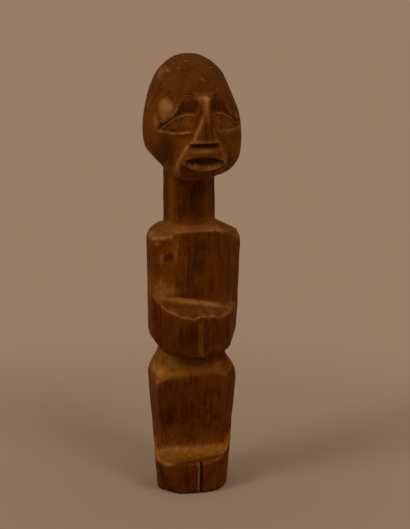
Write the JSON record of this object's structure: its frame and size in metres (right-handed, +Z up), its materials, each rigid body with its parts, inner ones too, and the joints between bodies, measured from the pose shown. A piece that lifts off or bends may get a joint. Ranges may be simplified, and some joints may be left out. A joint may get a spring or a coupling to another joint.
{
  "type": "power figure",
  "caption": "Small standing power figure carved from one block of dark wood, with a tall egg-shaped head, a ledge over the belly, and joined legs on flat feet.",
  "frame": {"origin": "middle of the figure's box, on the ground under its soles", "axes": "+Z up the figure, and the face looks towards -Y"},
  "size_m": [0.0362, 0.0382, 0.1598],
  "materials": {
    "patinated_wood": "hand-carved dense wood with a dark, handled patina, half gloss on the worn edges and ochre dust in the hollows"
  },
  "bodies": {
    "root": {"carved_figure": "patinated_wood"}
  },
  "joints": []
}
